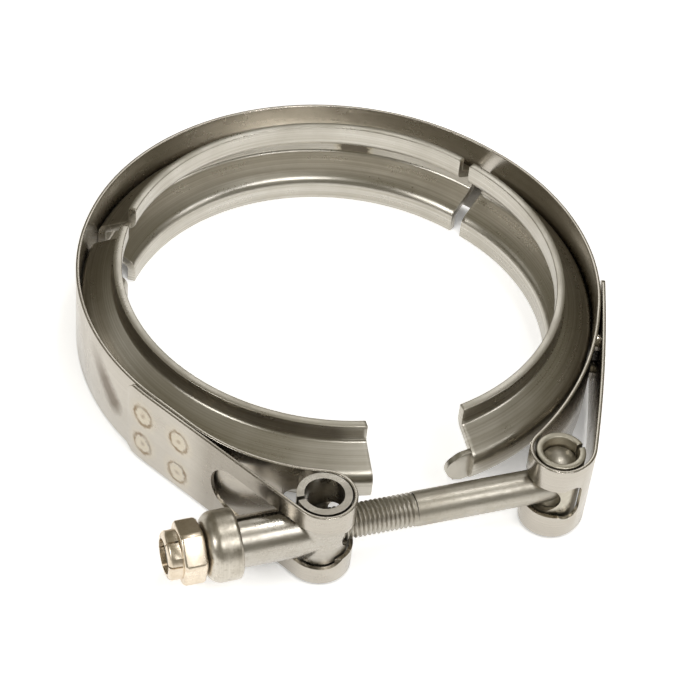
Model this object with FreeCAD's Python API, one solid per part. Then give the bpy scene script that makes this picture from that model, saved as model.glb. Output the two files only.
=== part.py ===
import FreeCAD, Part
import math
import os

# V-band clamp for an exhaust or air duct: one thin strap holds three V-section retainers,
# and a T-bolt with a lock nut draws the two strap loops together.
# Millimetres. Z is the axis of the ring, z = 0 is the lower edge of the retainers.
# The bolt lies along X at y = -bolt_offset, with its nut at the -X end.

V = FreeCAD.Vector

# Ring
ring_radius = 62.0          # outer radius of the strap
strap_thickness = 0.9
strap_width = 21.4
retainer_height = 23.4
retainer_sheet = 2.0
rail_depth = 10.8           # strap's outer face to the retainer lips' inner face
lip_height = 4.9
web_height = 5.2            # flat outer web of the V section
section_bend = 2.2          # bend radius of the V section, middle of the sheet
bend_flats = 3              # each bend is rolled in as many flats
weld_seat = 0.1             # retainer web to strap, and leaf to strap

# Gaps between the retainers (degrees about the ring axis) and the front ends
gap_left_at = 148.9
gap_left_span = 6.2
gap_right_at = 33.75
gap_right_span = 2.9
left_front_end = 259.5
right_front_end = -77.0
open_left = 0.9             # how far each half stands open at rest
open_right = 1.6
front_skew = 7.0            # the front ends are cut this much out of radial, the web is longer

# Tongue of the right retainer
tongue_width = 8.0
tongue_length = 6.8
tongue_sheet = 1.4
tongue_step = 1.5           # its face lies this far inside the web's face
tongue_root = 0.5           # degrees from the lip's end to where it meets the web

# Line of the bolt and the two loops
bolt_standoff = 7.15        # strap's outer radius to the bolt's middle
left_loop_x = -25.0
right_loop_x = 30.35
barrel_clearance = 0.35     # left loop to the barrel inside it
sleeve_clearance = 0.55     # right loop to the sleeve inside it
leaf_contact_left = 12.0    # straight run where the two leaves lie on each other
leaf_contact_right = 3.0
leaf_tail_left = 6.8        # leaf end beyond the tangent point
leaf_lift_right = 0.6       # the right leaf stands off the ring at its end
leaf_tail_right = 11.82     # its end, from the tangent point
leaf_bow_right = 500.0      # radius of its slight bow
leaf_turn_right = 9.5       # wider bend where it turns into the loop
leaf_turn_to = -75.0        # end of the wider bend, degrees about the loop
leaf_corner = 1.4           # cut corners of the leaf end
slot_height_left = 12.0
slot_start_left = 20.0      # slot end on the outer leaf, from the tangent point
slot_wide_to = -98.0        # its wide part ends here, degrees about the left loop
slot_back_left = 9.0        # slot end on the inner leaf, from the loop
slot_height_bolt = 8.6      # narrow part of both slots, round the bolt
keyhole_height = 9.9        # wide end of the right slot
keyhole_width = 5.6
keyhole_at = -81.4          # its middle, degrees about the right loop
keyhole_corner = 2.5
weld_nugget = 2.2           # radius of the weld spots between leaf and strap
weld_rows_left = (-1.0, 10.0)   # places along the leaf, from the tangent point
weld_rows_right = (-5.0, 5.0)
weld_pitch = 9.0            # upper to lower spot

# Trunnion with its stem
barrel_radius = 6.1
barrel_bore = 4.45
barrel_height = 21.6
stem_radius = 5.7
stem_bore = 4.35
stem_length = 24.7          # barrel axis to stem end
stem_seam = 1.0
stem_seam_at = 1.5          # the tails meet behind the middle, the front one is wider
stem_blend = 1.6
exit_height = 9.2           # slotted hole where the bolt leaves the barrel
exit_reach = 5.2            # half its length across

# Ferrule on the stem end
ferrule_radius = 7.95
ferrule_length = 7.5
ferrule_face = 2.2          # thickness of its closed end
ferrule_dome = 3.2
ferrule_edge = 0.9
ferrule_fit = 0.08          # bore to stem
ferrule_seat = 0.05         # stem end to closed end

# T-bolt
shank_radius = 3.97
thread_radius = 3.82
thread_start = 33.85        # T axis to the first thread
thread_length = 56.1
bolt_point = 0.9            # chamfer at the tip
tee_radius = 3.98
tee_height = 18.6
tee_dome = 1.6

# Sleeve round the T
sleeve_radius = 5.6
sleeve_fit = 0.1            # bore to T, radial
sleeve_height = 21.2
sleeve_seam = 1.0
sleeve_seam_at = 3.0
sleeve_window = 9.0         # height of its window for the shank
window_from = 140.0
window_to = 255.0

# Lock nut
nut_across = 12.7
nut_length = 5.3
nut_washer = 0.25
crown_radius = 5.5
crown_length = 2.95
crown_slots = 6
crown_slot_width = 0.7
thread_fit = 0.1
nut_gap = 0.3               # nut face to ferrule face
nut_turn = 12.0

mid = retainer_height / 2.0
lip_radius = ring_radius - rail_depth
bolt_offset = ring_radius + bolt_standoff
strap_low = mid - strap_width / 2.0
strap_mid_radius = ring_radius - strap_thickness / 2.0
leaf_mid_radius = strap_mid_radius + strap_thickness + weld_seat


def polar(radius, degrees):
    a = math.radians(degrees)
    return (radius * math.cos(a), radius * math.sin(a))


def add(p, q, k=1.0):
    return (p[0] + q[0] * k, p[1] + q[1] * k)


def angle_of(p, q):
    return math.degrees(math.atan2(q[1] - p[1], q[0] - p[0]))


def turned(p, centre, degrees):
    a = math.radians(degrees)
    dx, dy = p[0] - centre[0], p[1] - centre[1]
    return (centre[0] + dx * math.cos(a) - dy * math.sin(a), centre[1] + dx * math.sin(a) + dy * math.cos(a))


# A path is a list of ("line", start, end) and ("arc", centre, radius, from, to) in degrees.
def side_edge(step, off):
    """Edge beside one path step, off to the left of its direction."""
    if step[0] == "line":
        p, q = step[1], step[2]
        a = math.radians(angle_of(p, q) + 90.0)
        n = (math.cos(a) * off, math.sin(a) * off)
        p, q = add(p, n), add(q, n)
        return Part.LineSegment(V(p[0], p[1], 0), V(q[0], q[1], 0)).toShape()
    centre, radius, a0, a1 = step[1:]
    r = radius - off if a1 > a0 else radius + off
    p, m, q = [add(centre, polar(r, a)) for a in (a0, (a0 + a1) / 2.0, a1)]
    return Part.Arc(V(p[0], p[1], 0), V(m[0], m[1], 0), V(q[0], q[1], 0)).toShape()


def strip_face(path, thickness):
    """Flat face of a sheet of even thickness that follows the path."""
    left = [side_edge(s, thickness / 2.0) for s in path]
    right = [side_edge(s, -thickness / 2.0) for s in path]
    ends = [Part.LineSegment(left[k].Vertexes[j].Point, right[k].Vertexes[j].Point).toShape()
            for k, j in ((0, 0), (-1, -1))]
    edges = left + right + ends
    return Part.Face(Part.Wire(Part.__sortEdges__(edges)))


def rounded_path(points, radius):
    """Straight runs joined by tangent bends of one radius."""
    path = []
    here = points[0]
    for k in range(1, len(points) - 1):
        p, c, q = points[k - 1], points[k], points[k + 1]
        a_in, a_out = angle_of(p, c), angle_of(c, q)
        turn = (a_out - a_in + 180.0) % 360.0 - 180.0
        cut = radius * math.tan(math.radians(abs(turn) / 2.0))
        start = add(c, polar(cut, a_in + 180.0))
        side = 90.0 if turn > 0 else -90.0
        centre = add(start, polar(radius, a_in + side))
        path.append(("line", here, start))
        path.append(("arc", centre, radius, a_in - side, a_in - side + turn))
        here = add(c, polar(cut, a_out))
    path.append(("line", here, points[-1]))
    return path


def flatted_face(path, thickness, flats):
    """Like strip_face, with each bend as a few flats."""
    flats = round(flats)
    sides = []
    for off in (thickness / 2.0, -thickness / 2.0):
        pts = []
        for step in path:
            if step[0] == "line":
                across = polar(off, angle_of(step[1], step[2]) + 90.0)
                pts += [add(step[1], across), add(step[2], across)]
            else:
                centre, radius, a0, a1 = step[1:]
                r = radius - off if a1 > a0 else radius + off
                pts += [add(centre, polar(r, a0 + (a1 - a0) * k / flats)) for k in range(1, flats)]
        sides.append(pts)
    outline = sides[0] + sides[1][::-1]
    return Part.Face(Part.makePolygon([V(x, y, 0) for x, y in outline + outline[:1]]))


def prism(face, z0, z1):
    face.translate(V(0, 0, z0))
    return face.extrude(V(0, 0, z1 - z0))


def about_z(shape, centre, degrees):
    shape.rotate(V(centre[0], centre[1], 0), V(0, 0, 1), degrees)
    return shape


# The flex points of the strap lie in the gaps between the retainers.
hinge_left = polar(strap_mid_radius, gap_left_at)
hinge_right = polar(strap_mid_radius, gap_right_at)
centre_left = turned((0.0, 0.0), hinge_left, -open_left)
centre_right = turned((0.0, 0.0), hinge_right, open_right)


def make_retainer(a0, a1):
    """V section turned from a0 to a1 degrees about the ring axis."""
    lip = lip_radius + retainer_sheet / 2.0
    web = ring_radius - strap_thickness - weld_seat - retainer_sheet / 2.0
    half, flat = retainer_height / 2.0, web_height / 2.0
    pts = [(lip, half), (lip, half - lip_height), (web, flat), (web, -flat),
           (lip, lip_height - half), (lip, -half)]
    face = flatted_face(rounded_path(pts, section_bend), retainer_sheet, bend_flats)
    face.rotate(V(0, 0, 0), V(1, 0, 0), 90)
    face.translate(V(0, 0, mid))
    face.rotate(V(0, 0, 0), V(0, 0, 1), a0)
    return face.revolve(V(0, 0, 0), V(0, 0, 1), a1 - a0)


def cut_front(shape, end, side):
    """Saws a front end. Side is 1 where the end faces round to larger angles, -1 to smaller ones."""
    deep = 2.0 * rail_depth
    box = Part.makeBox(2.0 * deep, deep, 2.0 * retainer_height,
                       V(-deep, 0 if side > 0 else -deep, -retainer_height / 2.0))
    box.rotate(V(0, 0, 0), V(0, 0, 1), end + side * front_skew)
    x, y = polar(lip_radius, end)
    box.translate(V(x, y, 0))
    return shape.cut(box)


def make_tongue(end):
    """Rounded tab that runs on from the sawn end of the right retainer."""
    outer = ring_radius - strap_thickness - weld_seat - tongue_step
    inner = outer - tongue_sheet
    r = tongue_width / 2.0
    long = 2.0 * tongue_length
    first = end - math.degrees(tongue_length / outer)
    last = end - tongue_root
    margin = math.degrees(r / outer)
    z0, z1 = mid - 1.2 * r, mid + 1.2 * r
    wall = Part.Face(Part.makePolygon([V(R, 0, z) for R, z in (
        (inner, z0), (outer, z0), (outer, z1), (inner, z1), (inner, z0))]))
    wall.rotate(V(0, 0, 0), V(0, 0, 1), first - margin)
    wall = wall.revolve(V(0, 0, 0), V(0, 0, 1), last - first + margin)
    near = inner - 2.0 * tongue_sheet
    edges = [Part.LineSegment(V(near, t0, za), V(near, t1, zb)).toShape() for t0, za, t1, zb in (
        (0, mid - r, long, mid - r), (long, mid - r, long, mid + r), (long, mid + r, 0, mid + r))]
    edges.append(Part.Arc(V(near, 0, mid + r), V(near, -r, mid), V(near, 0, mid - r)).toShape())
    tab = Part.Face(Part.Wire(edges)).extrude(V(5.0 * tongue_sheet, 0, 0))
    tab.rotate(V(0, 0, 0), V(0, 0, 1), first + math.degrees(r / outer))
    return tab.common(wall)


def loop_path(side, loop, radius, contact):
    """From the leaf end round the loop to the ring. Side is 1 for the left loop, -1 for the right."""
    centre = centre_left if side > 0 else centre_right
    dist = math.hypot(loop[0] - centre[0], loop[1] - centre[1])
    lift = leaf_mid_radius - radius
    normal = angle_of(centre, loop) - side * math.degrees(math.acos(lift / dist))
    along = normal + side * 90.0
    # inner leaf: straight beside the outer one, then an arc that meets the loop behind the barrel
    foot = add(centre, polar(strap_mid_radius, normal))
    start = add(foot, polar(contact, along))
    reach = math.sqrt(dist ** 2 - lift ** 2) - contact
    drop = strap_mid_radius - lift
    bend = (reach ** 2 + drop ** 2 - radius ** 2) / (2.0 * (radius + drop))
    bend_centre = add(start, polar(bend, normal + 180.0))
    swing = math.degrees(math.atan2(reach, bend - drop))
    back = [("arc", loop, radius, normal, normal + side * (180.0 + swing)),
            ("arc", bend_centre, bend, normal + side * swing, normal),
            ("line", start, foot)]
    if side > 0:
        tail = math.degrees(leaf_tail_left / leaf_mid_radius)
        tangent = add(centre, polar(leaf_mid_radius, normal))
        front = [("arc", centre, leaf_mid_radius, normal - tail, normal),
                 ("line", tangent, add(loop, polar(radius, normal)))]
        return front + back, normal, along
    # right leaf: a slightly bowed strip that comes into the loop through a wider bend
    end = normal + math.degrees(leaf_tail_right / leaf_mid_radius)
    tip = add(centre, polar(ring_radius + leaf_lift_right + strap_thickness / 2.0, end))
    turn_centre = add(loop, polar(leaf_turn_right - radius, leaf_turn_to + 180.0))
    gap = math.hypot(tip[0] - turn_centre[0], tip[1] - turn_centre[1])
    far = leaf_bow_right - leaf_turn_right
    a = (far ** 2 - leaf_bow_right ** 2 + gap ** 2) / (2.0 * gap)
    to_tip = angle_of(turn_centre, tip)
    bow_centre = add(add(turn_centre, polar(a, to_tip)), polar(math.sqrt(far ** 2 - a ** 2), to_tip + 90.0))
    turn_from = angle_of(bow_centre, turn_centre)
    back[0] = ("arc", loop, radius, leaf_turn_to, back[0][4])
    front = [("arc", bow_centre, leaf_bow_right, angle_of(bow_centre, tip), turn_from),
             ("arc", turn_centre, leaf_turn_right, turn_from, leaf_turn_to)]
    return front + back, normal, along


def reversed_path(path):
    out = []
    for s in reversed(path):
        out.append(("line", s[2], s[1]) if s[0] == "line" else ("arc", s[1], s[2], s[4], s[3]))
    return out


def flex_arc(centre, first, last):
    """Arc from the rear ring, at first degrees, to an opened half, at last degrees about its centre."""
    p = polar(strap_mid_radius, first)
    q = add(centre, polar(strap_mid_radius, last))
    # its middle is on the line from p to the ring axis, as far from q as from p
    ux, uy = p[0] / strap_mid_radius, p[1] / strap_mid_radius
    dx, dy = p[0] - q[0], p[1] - q[1]
    r = (dx * dx + dy * dy) / (2.0 * (dx * ux + dy * uy))
    c = add(p, (ux, uy), -r)
    a0, a1 = angle_of(c, p), angle_of(c, q)
    return ("arc", c, r, a0, a0 + (a1 - a0 + 180.0) % 360.0 - 180.0)


barrel_loop = barrel_radius + barrel_clearance + strap_thickness / 2.0
sleeve_loop = sleeve_radius + sleeve_clearance + strap_thickness / 2.0
left_loop = (left_loop_x, -bolt_offset)
right_loop = (right_loop_x, -bolt_offset)
left_path, left_normal, left_along = loop_path(1, left_loop, barrel_loop, leaf_contact_left)
right_path, right_normal, right_along = loop_path(-1, right_loop, sleeve_loop, leaf_contact_right)


def leaf_cutter(leaf, side):
    """Wedges that take the corners off a leaf end, and nothing of the strap under it."""
    centre, radius, end = leaf[1:4]
    c = leaf_corner
    wedges = []
    for z, up in ((strap_low, 1.0), (strap_low + strap_width, -1.0)):
        tri = Part.Face(Part.makePolygon([V(0, y * side, z + k * up) for y, k in (
            (c, -1.0), (c, 0.0), (0.0, c), (-1.0, c), (-1.0, -1.0), (c, -1.0))]))
        wedge = tri.extrude(V(strap_thickness + 1.0, 0, 0))
        wedge.translate(V(radius - strap_thickness / 2.0 - weld_seat / 2.0, 0, 0))
        wedge.rotate(V(0, 0, 0), V(0, 0, 1), end)
        wedge.translate(V(centre[0], centre[1], 0))
        wedges.append(wedge)
    return wedges


def round_end(at, outward, half):
    """Short cylinder across the sheet, for the rounded end of a slot."""
    x, y = polar(1.0, outward)
    deep = strap_thickness
    return Part.makeCylinder(half, 2.0 * deep, V(at[0] - x * deep, at[1] - y * deep, mid), V(x, y, 0))


def slot_tool(path, half):
    return prism(strip_face(path, 2.0 * strap_thickness), mid - half, mid + half)


def make_strap():
    gl, gr = gap_left_span * 0.42, gap_right_span * 0.42
    left_end = gap_left_at + gl - open_left
    right_end = gap_right_at - gr + open_right
    path = list(left_path)
    path.append(("arc", centre_left, strap_mid_radius, left_normal + 360.0, left_end))
    path += reversed_path([flex_arc(centre_left, gap_left_at - gl, left_end)])
    path.append(("arc", (0.0, 0.0), strap_mid_radius, gap_left_at - gl, gap_right_at + gr))
    path.append(flex_arc(centre_right, gap_right_at + gr, right_end))
    path.append(("arc", centre_right, strap_mid_radius, right_end, right_normal))
    path += reversed_path(right_path)
    body = prism(strip_face(path, strap_thickness), strap_low, strap_low + strap_width)

    # slot of the left loop: wide on the outer leaf and the front, narrow where the bolt leaves
    half, slim = slot_height_left / 2.0, slot_height_bolt / 2.0
    p0 = add(left_path[1][1], polar(slot_start_left + half, left_along))
    body = body.cut(slot_tool([("line", p0, left_path[1][2]),
                               ("arc", left_loop, barrel_loop, left_normal, slot_wide_to)], half))
    body = body.cut(round_end(p0, left_normal, half))
    body = body.cut(round_end(add(left_loop, polar(barrel_loop, slot_wide_to)), slot_wide_to, half))
    bend_centre, bend, a0 = left_path[3][1:4]
    a1 = a0 - math.degrees((slot_back_left - slim) / bend)
    body = body.cut(slot_tool([("arc", left_loop, barrel_loop, slot_wide_to, left_path[2][4]),
                               ("arc", bend_centre, bend, a0, a1)], slim))
    body = body.cut(round_end(add(bend_centre, polar(bend, a1)), a1, slim))

    # slot of the right loop: a wide end on the front, then narrow round the inside
    end = right_path[2][4] + math.degrees(slim / sleeve_loop)
    body = body.cut(slot_tool([("arc", right_loop, sleeve_loop, keyhole_at, end)], slim))
    body = body.cut(round_end(add(right_loop, polar(sleeve_loop, end)), end, slim))
    wide = Part.makeBox(sleeve_loop, keyhole_width, keyhole_height,
                        V(sleeve_loop / 2.0, -keyhole_width / 2.0, mid - keyhole_height / 2.0))
    wide = wide.makeFillet(keyhole_corner, [e for e in wide.Edges
                                            if abs(e.tangentAt(e.FirstParameter).x) > 0.9])
    wide.rotate(V(0, 0, 0), V(0, 0, 1), keyhole_at)
    wide.translate(V(right_loop[0], right_loop[1], 0))
    body = body.cut(wide)

    for wedge in leaf_cutter(left_path[0], 1) + leaf_cutter(right_path[0], -1):
        body = body.cut(wedge)

    # weld nuggets between each leaf and the ring
    under = strap_mid_radius - 0.2
    for centre, normal, along, rows, top in (
            (centre_left, left_normal, left_along, weld_rows_left, leaf_mid_radius),
            (centre_right, right_normal, right_along, weld_rows_right, ring_radius + leaf_lift_right + 0.5)):
        x, y = polar(1.0, normal)
        for s in rows:
            at = add(add(centre, polar(under, normal)), polar(s, along))
            for dz in (-weld_pitch / 2.0, weld_pitch / 2.0):
                spot = Part.makeCylinder(weld_nugget, top - under, V(at[0], at[1], mid + dz), V(x, y, 0))
                body = body.fuse(spot)
    return body.removeSplitter()


def make_trunnion():
    """One folded sheet: a barrel round the loop's axis whose two tails form the stem."""
    low = mid - barrel_height / 2.0
    barrel = Part.makeCylinder(barrel_radius, barrel_height, V(0, 0, low))
    stem = Part.makeCylinder(stem_radius, stem_length, V(0, 0, mid), V(-1, 0, 0))
    body = barrel.fuse(stem)
    seam = [e for e in body.Edges if e.BoundBox.XMin < -0.5 and e.BoundBox.XLength > 1.0
            and e.BoundBox.YLength > 4.0 and e.BoundBox.ZLength > 2.0 and e.BoundBox.XMax < 0.5]
    if seam:
        body = body.makeFillet(stem_blend, seam)
    body = body.cut(Part.makeCylinder(barrel_bore, barrel_height + 2.0, V(0, 0, low - 1.0)))
    body = body.cut(Part.makeCylinder(stem_bore, stem_length + 1.0, V(0, 0, mid), V(-1, 0, 0)))
    # the exit is a slot across the barrel with rounded ends, so that the bolt can swing a little
    r = exit_height / 2.0
    reach = barrel_radius + 1.0
    box = Part.makeBox(reach, 2.0 * (exit_reach - r), exit_height, V(0, r - exit_reach, mid - r))
    for y in (r - exit_reach, exit_reach - r):
        box = box.fuse(Part.makeCylinder(r, reach, V(0, y, mid), V(1, 0, 0)))
    body = body.cut(box)
    # the sheet's ends leave a seam in the barrel, and one on top and underneath of the stem
    body = body.cut(Part.makeBox(barrel_radius + stem_blend, stem_seam, barrel_height + 2.0,
                                 V(-barrel_radius - stem_blend, -stem_seam / 2.0, low - 1.0)))
    body = body.cut(Part.makeBox(stem_length, stem_seam, 2.0 * stem_radius + 2.0,
                                 V(-stem_length - barrel_radius, stem_seam_at - stem_seam / 2.0,
                                   mid - stem_radius - 1.0)))
    body.translate(V(left_loop[0], left_loop[1], 0))
    return body


def turned_profile(points, x0):
    """Solid of revolution about the bolt axis. Points are (distance along +X, radius)."""
    wire = Part.makePolygon([V(x, 0, r) for x, r in points] + [V(points[0][0], 0, points[0][1])])
    solid = Part.Face(wire).revolve(V(0, 0, 0), V(1, 0, 0), 360)
    solid.translate(V(x0, -bolt_offset, mid))
    return solid


ferrule_x = left_loop_x - stem_length - ferrule_seat - ferrule_face


def make_ferrule():
    """Domed cap over the stem end. The nut bears on its closed end."""
    hole = shank_radius + 0.35
    bore = stem_radius + ferrule_fit
    pts = [(0.0, hole), (0.0, ferrule_radius - ferrule_dome)]
    n = 5
    for k in range(1, n + 1):
        a = math.pi / 2.0 * k / n
        pts.append((ferrule_dome * (1.0 - math.cos(a)), ferrule_radius - ferrule_dome * (1.0 - math.sin(a))))
    end = ferrule_length
    soft = ferrule_edge * 0.3
    pts += [(end - ferrule_edge, ferrule_radius), (end - soft, ferrule_radius - soft),
            (end, ferrule_radius - ferrule_edge), (end, bore), (ferrule_face, bore), (ferrule_face, hole)]
    return turned_profile(pts, ferrule_x)


nut_x = ferrule_x - nut_gap - nut_length


def make_nut():
    """Hexagon with rounded shoulders, and a slotted crown that grips the thread."""
    corner = nut_across / math.sqrt(3.0)
    flat = nut_across / 2.0
    ring = [V(0, corner * math.sin(math.radians(60 * k)), corner * math.cos(math.radians(60 * k)))
            for k in range(7)]
    body = Part.Face(Part.makePolygon(ring)).extrude(V(nut_length, 0, 0))
    drop = corner - flat
    cone = [(0.0, 0.0), (0.0, flat - 0.1), (drop * 0.75, corner + 0.05),
            (nut_length - drop * 0.5, corner + 0.05), (nut_length - nut_washer, flat - 0.2),
            (nut_length, flat - 0.2), (nut_length, 0.0)]
    shape = Part.Face(Part.makePolygon([V(x, 0, r) for x, r in cone] + [V(0, 0, 0)]))
    body = body.common(shape.revolve(V(0, 0, 0), V(1, 0, 0), 360))
    crown = [(-crown_length, 0.0), (-crown_length, crown_radius - 0.9),
             (-crown_length + 0.35, crown_radius - 0.3), (-crown_length + 0.9, crown_radius),
             (0.5, crown_radius), (0.5, 0.0)]
    shape = Part.Face(Part.makePolygon([V(x, 0, r) for x, r in crown] + [V(-crown_length, 0, 0)]))
    body = body.fuse(shape.revolve(V(0, 0, 0), V(1, 0, 0), 360))
    body = body.cut(Part.makeCylinder(thread_radius + thread_fit, nut_length + crown_length + 2.0,
                                      V(-crown_length - 1.0, 0, 0), V(1, 0, 0)))
    for k in range(crown_slots):
        cut = Part.makeBox(crown_length + 1.0, crown_slot_width, crown_radius + 1.0,
                           V(-crown_length - 1.0, -crown_slot_width / 2.0, 0))
        cut.rotate(V(0, 0, 0), V(1, 0, 0), 360.0 / crown_slots * k + 180.0 / crown_slots)
        body = body.cut(cut)
    body = body.removeSplitter()
    body.rotate(V(0, 0, 0), V(1, 0, 0), nut_turn)
    body.translate(V(nut_x, -bolt_offset, mid))
    return body


def make_bolt():
    """T-bolt: a short upright bar with domed ends, and a shank with a long thread."""
    half = tee_height / 2.0
    flat = half - tee_dome
    dome = (tee_radius ** 2 + tee_dome ** 2) / (2.0 * tee_dome)
    bar = Part.makeCylinder(tee_radius, 2.0 * flat, V(0, 0, -flat))
    for s in (1, -1):
        ball = Part.makeSphere(dome, V(0, 0, s * (half - dome)))
        cap = Part.makeCylinder(tee_radius, tee_dome, V(0, 0, flat if s > 0 else -half))
        bar = bar.fuse(ball.common(cap))
    bar = bar.removeSplitter()
    end = thread_start + thread_length
    prof = [(0.0, 0.0), (0.0, shank_radius), (-thread_start, shank_radius),
            (-thread_start - 0.3, thread_radius), (-end + bolt_point, thread_radius),
            (-end, thread_radius - bolt_point), (-end, 0.0)]
    shape = Part.Face(Part.makePolygon([V(x, 0, r) for x, r in prof] + [V(0, 0, 0)]))
    body = bar.fuse(shape.revolve(V(0, 0, 0), V(1, 0, 0), 360))
    body.translate(V(right_loop[0], right_loop[1], mid))
    return body


def make_sleeve():
    """Rolled tube round the T, split on its far side, with a window for the shank."""
    low = mid - sleeve_height / 2.0
    bore = tee_radius + sleeve_fit
    body = Part.makeCylinder(sleeve_radius, sleeve_height, V(0, 0, low))
    body = body.cut(Part.makeCylinder(bore, sleeve_height + 2.0, V(0, 0, low - 1.0)))
    half = sleeve_window / 2.0
    inset = math.degrees(half / sleeve_radius)
    a0, a1 = window_from + inset, window_to - inset
    arc = [("arc", (0.0, 0.0), (bore + sleeve_radius) / 2.0, a0, a1)]
    cut = prism(strip_face(arc, 1.4 * (sleeve_radius - bore)), mid - half, mid + half)
    for a, start in ((a0, 0.0), (a1, bore / 2.0)):
        x, y = polar(1.0, a)
        cut = cut.fuse(Part.makeCylinder(half, sleeve_radius * 1.2, V(x * start, y * start, mid), V(x, y, 0)))
    body = body.cut(cut)
    seam = Part.makeBox(sleeve_radius + 1.0, sleeve_seam, sleeve_height + 2.0,
                        V(0, -sleeve_seam / 2.0, low - 1.0))
    seam.rotate(V(0, 0, 0), V(0, 0, 1), sleeve_seam_at)
    body = body.cut(seam)
    body.translate(V(right_loop[0], right_loop[1], 0))
    return body


rear = make_retainer(gap_right_at + gap_right_span / 2.0, gap_left_at - gap_left_span / 2.0)
left_end = left_front_end + open_left
right_end = right_front_end - open_right
left_retainer = cut_front(make_retainer(gap_left_at + gap_left_span / 2.0, left_end + 4.0), left_end, 1)
left_retainer = about_z(left_retainer, hinge_left, -open_left)
right_retainer = cut_front(make_retainer(right_end - 4.0, gap_right_at - gap_right_span / 2.0), right_end, -1)
right_retainer = right_retainer.fuse(make_tongue(right_end))
right_retainer = about_z(right_retainer.removeSplitter(), hinge_right, open_right)

parts = {
    "strap": make_strap(),
    "retainer_rear": rear,
    "retainer_left": left_retainer,
    "retainer_right": right_retainer,
    "trunnion": make_trunnion(),
    "ferrule": make_ferrule(),
    "lock_nut": make_nut(),
    "tee_bolt": make_bolt(),
    "sleeve": make_sleeve(),
}

os.makedirs("parts", exist_ok=True)
for name, shape in parts.items():
    shape.Solids[0].exportStep("parts/" + name + ".step")
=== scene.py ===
"""Looks of the V-band clamp: steel strap, rolled retainers, T-bolt with its thread, plated lock nut.

Lengths are in millimetres up to the moment a mesh is made, and Blender's own units are metres.
"""

import math

import bmesh
import bpy
from mathutils import Matrix, Vector


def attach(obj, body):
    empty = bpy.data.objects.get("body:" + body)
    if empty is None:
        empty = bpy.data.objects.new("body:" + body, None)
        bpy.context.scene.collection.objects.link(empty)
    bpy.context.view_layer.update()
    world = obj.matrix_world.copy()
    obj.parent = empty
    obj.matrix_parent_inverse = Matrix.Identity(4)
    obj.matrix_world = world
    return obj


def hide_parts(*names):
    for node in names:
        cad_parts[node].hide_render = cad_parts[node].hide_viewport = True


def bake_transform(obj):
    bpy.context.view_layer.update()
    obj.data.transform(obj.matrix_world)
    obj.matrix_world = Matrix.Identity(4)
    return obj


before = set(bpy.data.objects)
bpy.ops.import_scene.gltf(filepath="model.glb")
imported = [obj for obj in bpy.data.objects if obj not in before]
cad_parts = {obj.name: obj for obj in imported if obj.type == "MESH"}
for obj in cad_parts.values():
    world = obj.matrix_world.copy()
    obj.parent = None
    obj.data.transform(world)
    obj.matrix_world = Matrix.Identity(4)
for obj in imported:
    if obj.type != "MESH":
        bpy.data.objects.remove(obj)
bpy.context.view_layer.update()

MM = 0.001

# Ring, as in the CAD source
RING_R = 62.0
STRAP_T = 0.9
STRAP_W = 21.4
RAIL_H = 23.4
RAIL_T = 2.0
LIP_R = 51.2
LIP_H = 4.9
WEB_H = 5.2
BEND_R = 2.2
SEAT = 0.1
GAP_LEFT, GAP_LEFT_SPAN = 148.9, 6.2
GAP_RIGHT, GAP_RIGHT_SPAN = 33.75, 2.9
LEFT_END, RIGHT_END = 259.5, -77.0
OPEN_LEFT, OPEN_RIGHT = 0.9, 1.6
FLEX_SHARE = 0.42                       # half the strap's bend in a gap, as a share of the gap
FRONT_SKEW = 7.0
TONGUE_W, TONGUE_L, TONGUE_T, TONGUE_STEP = 8.0, 6.8, 1.4, 1.5
TONGUE_ROOT = 0.5                       # degrees from the lip's end to the tongue's root
TONGUE_CROWN, TONGUE_BEND = 0.10, 0.22  # how far its long edges drop, and the slope of its bent tip
LIP_EDGE, RAIL_EDGE = 0.18, 0.16        # rounded edges of the lips and of the sawn ends
RAIL_UV_R = 57.0                        # radius at which the length map of the retainers is true

# Loops
BOLT_Y = -69.15
LEFT_LOOP = (-25.0, BOLT_Y)
RIGHT_LOOP = (30.35, BOLT_Y)
BARREL_LOOP = 6.1 + 0.35 + STRAP_T / 2
SLEEVE_LOOP = 5.6 + 0.55 + STRAP_T / 2
CONTACT_LEFT, CONTACT_RIGHT = 12.0, 3.0
LEAF_TAIL = 6.8
LEAF_LIFT, LEAF_END, LEAF_BOW = 0.6, -15.0, 500.0
LEAF_TURN, LEAF_TURN_TO = 9.5, -75.0
LEAF_CORNER = 1.4
SLOT_LEFT_H, SLOT_LEFT_START, SLOT_WIDE_TO, SLOT_BACK = 12.0, 20.0, -98.0, 9.0
SLOT_BOLT_H = 8.6
KEY_H, KEY_W, KEY_AT, KEY_CORNER = 9.9, 5.6, -81.4, 2.5
WELD_R, WELD_PITCH = 2.2, 9.0
WELDS_RIGHT = (-5.0, 5.0)
WELD_MARK_R = 2.8                       # brown ring of a spot weld
STRAP_ROUND, STRAP_BEVEL = 0.2, 0.12    # rounded long edges, and the edges of its cuts

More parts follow.
